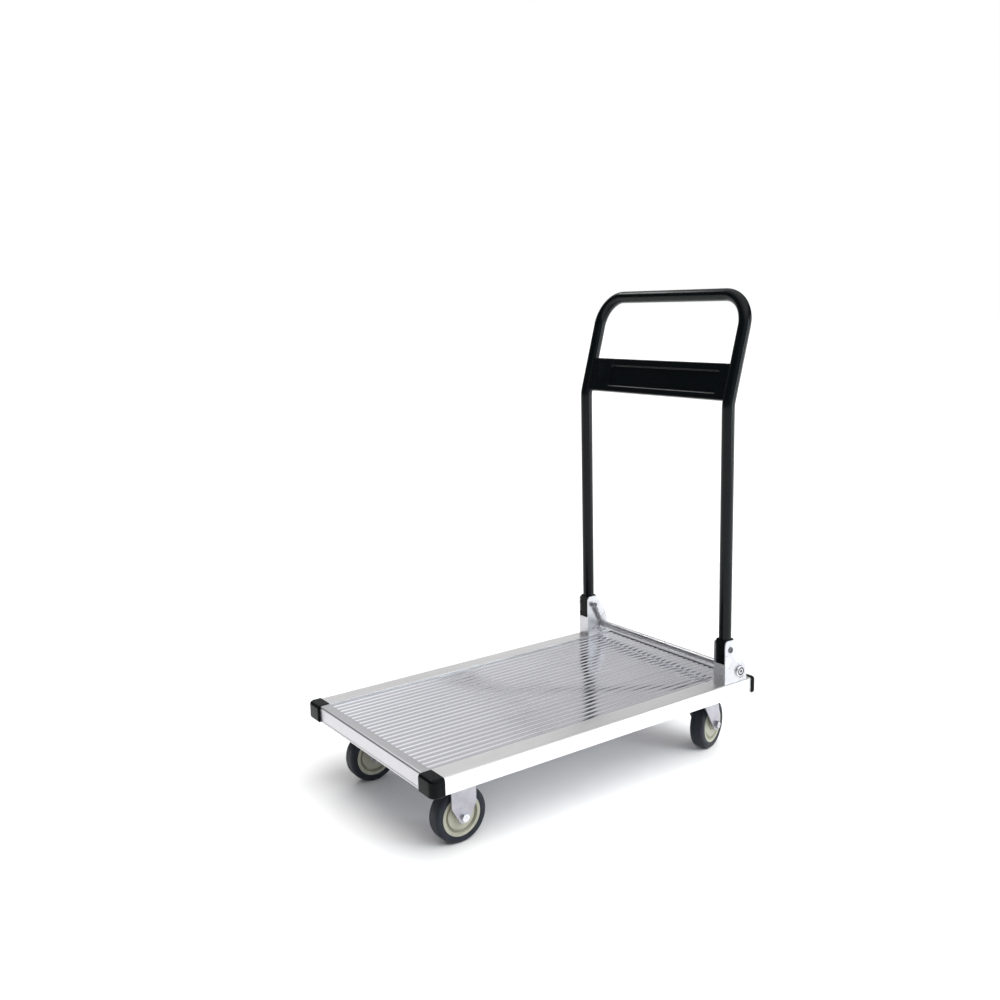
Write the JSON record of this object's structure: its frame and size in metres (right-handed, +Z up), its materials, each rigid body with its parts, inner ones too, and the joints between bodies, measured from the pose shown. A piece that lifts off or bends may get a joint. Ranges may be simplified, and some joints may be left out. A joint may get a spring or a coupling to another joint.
{
  "type": "platform trolley",
  "caption": "Flat platform trolley with a ribbed aluminium deck, a folding black tube handle, fixed front wheels and swivel rear casters.",
  "frame": {"origin": "on the floor, under the middle of the deck", "axes": "+X towards the handle end, +Y to the right of a person pushing from that end, +Z up"},
  "size_m": [0.75, 0.447, 0.9066],
  "materials": {
    "aluminium_planks": "mill-finish ribbed extrusion, softly reflective",
    "aluminium_rails": "satin anodised extrusion",
    "black_plastic": "smooth moulded plastic with a soft sheen",
    "black_enamel": "gloss black powder coat",
    "rubber_tyre": "dark blue-grey rubber",
    "hub_plastic": "warm grey moulded plastic",
    "plated_steel": "dull zinc-plated pressed steel",
    "bright_zinc": "bright zinc-plated steel",
    "fastener_steel": "bright zinc-plated fasteners"
  },
  "bodies": {
    "deck": {"axle_bolt_front_left": "fastener_steel", "axle_bolt_front_right": "fastener_steel", "axle_sleeve_front_left": "fastener_steel", "axle_sleeve_front_right": "fastener_steel", "bracket_screws": "fastener_steel", "caster_bolts": "fastener_steel", "centre_plank": "aluminium_planks", "front_corner_cap_left": "black_plastic", "front_corner_cap_right": "black_plastic", "front_cross_member": "plated_steel", "front_rail": "aluminium_rails", "hinge_bracket_left": "bright_zinc", "hinge_bracket_right": "bright_zinc", "inner_plank_left": "aluminium_planks", "inner_plank_right": "aluminium_planks", "kingpin_left": "fastener_steel", "kingpin_right": "fastener_steel", "outer_plank_left": "aluminium_planks", "outer_plank_right": "aluminium_planks", "pivot_pin_left": "fastener_steel", "pivot_pin_right": "fastener_steel", "rear_corner_cap_left": "black_plastic", "rear_corner_cap_right": "black_plastic", "rear_cross_member": "plated_steel", "rear_rail": "aluminium_rails", "release_spring_left": "fastener_steel", "release_spring_right": "fastener_steel", "rigid_fork_left": "plated_steel", "rigid_fork_right": "plated_steel", "side_rail_left": "aluminium_rails", "side_rail_right": "aluminium_rails", "swivel_plate_left": "plated_steel", "swivel_plate_right": "plated_steel"},
    "handle": {"handle_tube": "black_enamel", "handle_shoe_left": "black_plastic", "handle_shoe_right": "black_plastic", "cross_panel": "black_enamel"},
    "release_bar": {"release_bar": "bright_zinc", "release_bar_cap_left": "bright_zinc", "release_bar_cap_right": "bright_zinc"},
    "front_wheel_left": {"wheel_hub_front_left": "hub_plastic", "tyre_front_left": "rubber_tyre"},
    "rear_swivel_left": {"swivel_fork_left": "plated_steel", "swivel_race_left": "plated_steel", "axle_sleeve_rear_left": "fastener_steel", "axle_bolt_rear_left": "fastener_steel"},
    "rear_wheel_left": {"wheel_hub_rear_left": "hub_plastic", "tyre_rear_left": "rubber_tyre"},
    "front_wheel_right": {"wheel_hub_front_right": "hub_plastic", "tyre_front_right": "rubber_tyre"},
    "rear_swivel_right": {"swivel_fork_right": "plated_steel", "swivel_race_right": "plated_steel", "axle_sleeve_rear_right": "fastener_steel", "axle_bolt_rear_right": "fastener_steel"},
    "rear_wheel_right": {"wheel_hub_rear_right": "hub_plastic", "tyre_rear_right": "rubber_tyre"}
  },
  "joints": [
    {"name": "handle_fold", "type": "hinge", "parent": "deck", "child": "handle", "pos_m": [0.3044, 0, 0.225], "axis": [0, -1, 0], "range_deg": [0, 96.4]},
    {"name": "release_bar_slide", "type": "slide", "parent": "deck", "child": "release_bar", "axis": [0.4783, 0, -0.8782], "range_m": [0, 0.009], "stiffness_N_per_m": 2000, "springref_m": -0.01, "deforming": ["release_spring_left", "release_spring_right"]},
    {"name": "front_wheel_left_spin", "type": "hinge", "parent": "deck", "child": "front_wheel_left", "pos_m": [-0.283, -0.15, 0.05], "axis": [0, 1, 0], "continuous": true},
    {"name": "rear_caster_left_swivel", "type": "hinge", "parent": "deck", "child": "rear_swivel_left", "pos_m": [0.296, -0.15, 0.1], "axis": [0, 0, 1], "continuous": true},
    {"name": "rear_wheel_left_spin", "type": "hinge", "parent": "rear_swivel_left", "child": "rear_wheel_left", "pos_m": [0.32068, -0.14184, 0.05], "axis": [-0.314, 0.9494, 0], "continuous": true},
    {"name": "front_wheel_right_spin", "type": "hinge", "parent": "deck", "child": "front_wheel_right", "pos_m": [-0.283, 0.15, 0.05], "axis": [0, 1, 0], "continuous": true},
    {"name": "rear_caster_right_swivel", "type": "hinge", "parent": "deck", "child": "rear_swivel_right", "pos_m": [0.296, 0.15, 0.1], "axis": [0, 0, 1], "continuous": true},
    {"name": "rear_wheel_right_spin", "type": "hinge", "parent": "rear_swivel_right", "child": "rear_wheel_right", "pos_m": [0.32068, 0.15816, 0.05], "axis": [-0.314, 0.9494, 0], "continuous": true}
  ]
}
